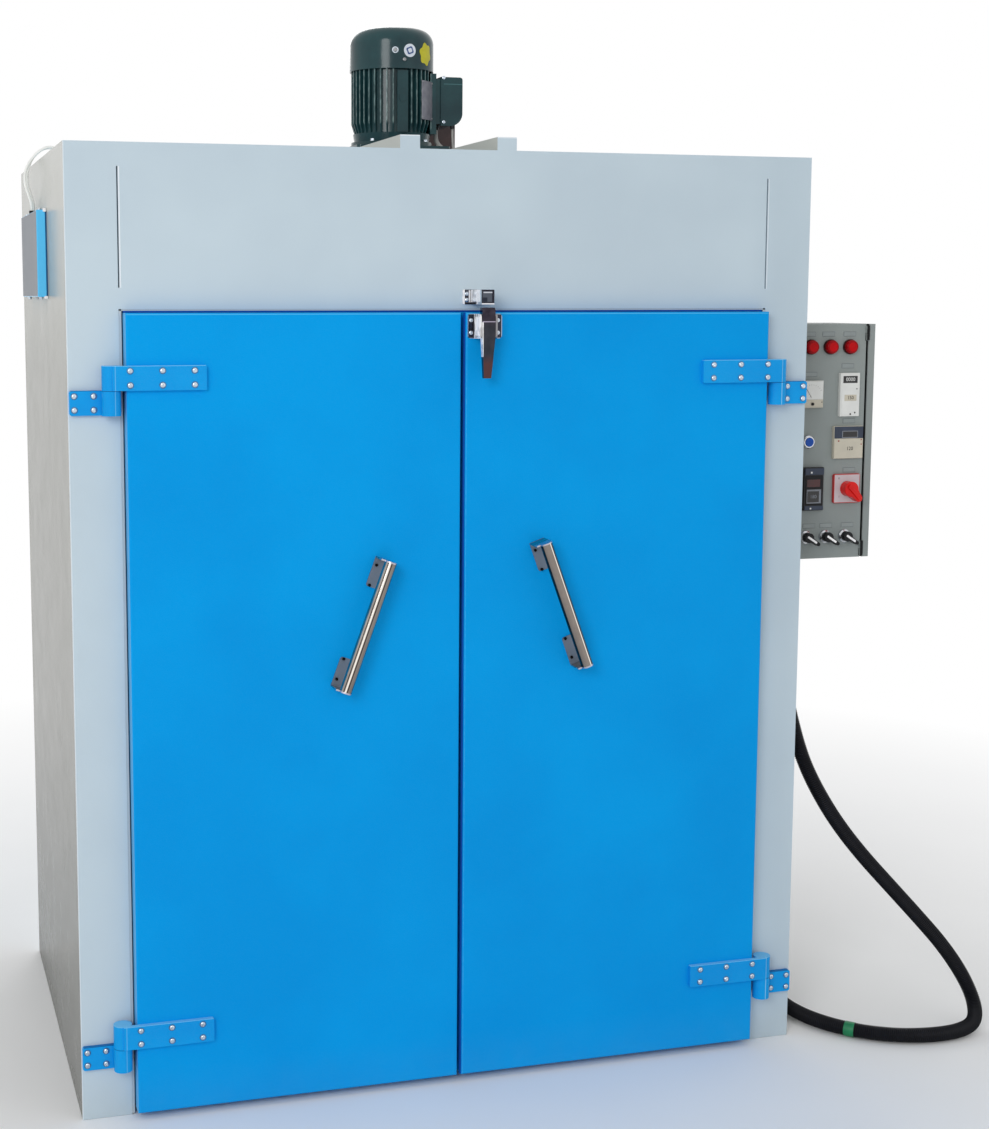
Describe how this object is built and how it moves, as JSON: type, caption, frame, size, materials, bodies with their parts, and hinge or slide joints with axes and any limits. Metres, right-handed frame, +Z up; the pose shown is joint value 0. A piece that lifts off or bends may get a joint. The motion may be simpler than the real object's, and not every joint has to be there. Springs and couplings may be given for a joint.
{
  "type": "trolley oven",
  "caption": "Insulated floor-standing oven cabinet with hinged double doors for roll-in trolleys, a roof-mounted fan motor and a side control box.",
  "frame": {"origin": "middle of the cabinet's footprint, on the floor", "axes": "+Z up, doors towards -Y, control box towards +X"},
  "size_m": [2.0124, 1.0991, 2.1965],
  "materials": {
    "cabinet_paint": "semi-gloss pale blue-grey paint",
    "door_paint": "gloss bright blue paint",
    "hinge_paint": "gloss bright blue paint",
    "inner_sheet": "brushed stainless sheet",
    "seal_rubber": "matt silicone seal",
    "polished_steel": "polished stainless tube",
    "chrome_plate": "bright chrome plate",
    "motor_paint": "gloss dark green enamel",
    "cover_paint": "gloss blue paint",
    "box_paint": "fine textured grey paint",
    "lamp_lens": "clear red lens",
    "instrument_plastic": "moulded pale grey plastic",
    "button_plastic": "blue plastic",
    "switch_plastic": "pale plastic plate with a red rim",
    "handle_plastic": "red plastic",
    "knob_plastic": "black plastic",
    "lead_sheath": "grey cable sheath",
    "sleeve_fibre": "woven glass fibre sleeve",
    "gland_plastic": "black plastic",
    "hose_plastic": "black corrugated plastic",
    "duct_paint": "dull dark brown paint",
    "fitting_metal": "zinc plated steel"
  },
  "bodies": {
    "cabinet": {"back_wall": "cabinet_paint", "cable_glands": "gland_plastic", "chamber_liner": "inner_sheet", "control_box": "box_paint", "door_gaskets": "seal_rubber", "door_stops": "inner_sheet", "exhaust_stub": "duct_paint", "floor_plate": "inner_sheet", "header": "cabinet_paint", "heater_cover": "cover_paint", "heater_wire_front": "sleeve_fibre", "heater_wire_rear": "sleeve_fibre", "hinge_leaves": "hinge_paint", "hose_fittings": "fitting_metal", "latch_keeper": "chrome_plate", "left_stile": "cabinet_paint", "left_wall": "cabinet_paint", "motor_cowl": "motor_paint", "motor_frame": "motor_paint", "motor_lead": "lead_sheath", "motor_plate": "motor_paint", "motor_wire": "lead_sheath", "right_stile": "cabinet_paint", "right_wall": "cabinet_paint", "roof_panel": "cabinet_paint", "roof_rails": "cabinet_paint", "supply_hose": "hose_plastic", "terminal_box": "motor_paint"},
    "left_door": {"left_door_panel": "door_paint", "left_door_plug": "inner_sheet", "left_hinge_straps": "hinge_paint", "left_door_grip": "polished_steel"},
    "right_door": {"right_door_panel": "door_paint", "right_door_plug": "inner_sheet", "right_hinge_straps": "hinge_paint", "right_door_grip": "polished_steel", "latch_base": "chrome_plate"},
    "door_latch": {"latch_lever": "chrome_plate"},
    "control_panel": {"control_door": "box_paint", "indicator_lamps": "lamp_lens", "panel_instruments": "instrument_plastic", "control_bezels": "chrome_plate", "switch_plate": "switch_plastic"},
    "switch_handle": {"main_switch": "handle_plastic"},
    "selector_a": {"left_selector": "knob_plastic"},
    "selector_b": {"middle_selector": "knob_plastic"},
    "selector_c": {"right_selector": "knob_plastic"},
    "button": {"push_button": "button_plastic"}
  },
  "joints": [
    {"name": "left_door_hinge", "type": "hinge", "parent": "cabinet", "child": "left_door", "pos_m": [-0.691, -0.504, 0], "axis": [0, 0, -1], "range_deg": [0, 110]},
    {"name": "right_door_hinge", "type": "hinge", "parent": "cabinet", "child": "right_door", "pos_m": [0.691, -0.504, 0], "axis": [0, 0, 1], "range_deg": [0, 110]},
    {"name": "latch_pivot", "type": "hinge", "parent": "right_door", "child": "door_latch", "pos_m": [0.0375, -0.549, 1.555], "axis": [-1, 0, 0], "range_deg": [0, 30]},
    {"name": "control_door_hinge", "type": "hinge", "parent": "cabinet", "child": "control_panel", "pos_m": [1.003, -0.332, 1.3], "axis": [0, 0, 1], "range_deg": [0, 110]},
    {"name": "main_switch_turn", "type": "hinge", "parent": "control_panel", "child": "switch_handle", "pos_m": [0.959, -0.34, 1.19], "axis": [0, -1, 0], "range_deg": [0, 90]},
    {"name": "selector_a_turn", "type": "hinge", "parent": "control_panel", "child": "selector_a", "pos_m": [0.863, -0.34, 1.08319], "axis": [0, -1, 0], "range_deg": [0, 90]},
    {"name": "selector_b_turn", "type": "hinge", "parent": "control_panel", "child": "selector_b", "pos_m": [0.911, -0.34, 1.08319], "axis": [0, -1, 0], "range_deg": [0, 90]},
    {"name": "selector_c_turn", "type": "hinge", "parent": "control_panel", "child": "selector_c", "pos_m": [0.959, -0.34, 1.08319], "axis": [0, -1, 0], "range_deg": [0, 90]},
    {"name": "button_press", "type": "slide", "parent": "control_panel", "child": "button", "axis": [0, 1, 0], "range_m": [0, 0.003], "stiffness_N_per_m": 400}
  ]
}
